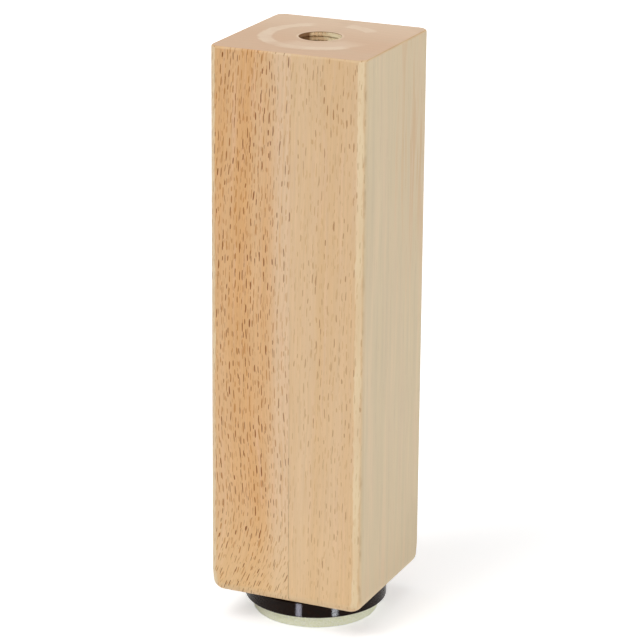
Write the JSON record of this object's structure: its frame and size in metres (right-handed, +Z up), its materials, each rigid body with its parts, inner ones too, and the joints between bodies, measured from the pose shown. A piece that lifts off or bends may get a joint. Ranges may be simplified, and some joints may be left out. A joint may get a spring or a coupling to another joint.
{
  "type": "wooden furniture leg",
  "caption": "Square beech furniture leg of glued staves with a threaded hole in the top end and a black levelling foot with a felt pad.",
  "frame": {"origin": "centre of the felt pad's underside, on the floor below the leg's axis", "axes": "+Z up along the leg's axis; the face with the glue line looks towards -Y; +X to the right of that face"},
  "size_m": [0.045, 0.045, 0.1636],
  "materials": {
    "left_beech": "lacquered beech, satin",
    "right_beech": "lacquered beech, satin",
    "insert_steel": "zinc plated",
    "stem_steel": "zinc plated, threaded",
    "black_plastic": "moulded, gloss",
    "cream_felt": "pressed felt"
  },
  "bodies": {
    "leg": {"left_stave": "left_beech", "right_stave": "right_beech", "top_insert": "insert_steel", "foot_insert": "insert_steel"},
    "pad": {"felt_pad": "cream_felt"},
    "foot": {"foot_disc": "black_plastic", "foot_stem": "stem_steel"}
  },
  "joints": [
    {"name": "foot_travel", "type": "slide", "parent": "leg", "child": "pad", "axis": [0, 0, -1], "range_m": [0, 0.01]},
    {"name": "foot_turn", "type": "hinge", "parent": "pad", "child": "foot", "pos_m": [0, 0, 0.006], "axis": [0, 0, -1], "range_deg": [0, 2880]}
  ],
  "couplings": [
    {"joint": "foot_travel", "follows": "foot_turn", "m_per_rad": 0.00019894}
  ]
}
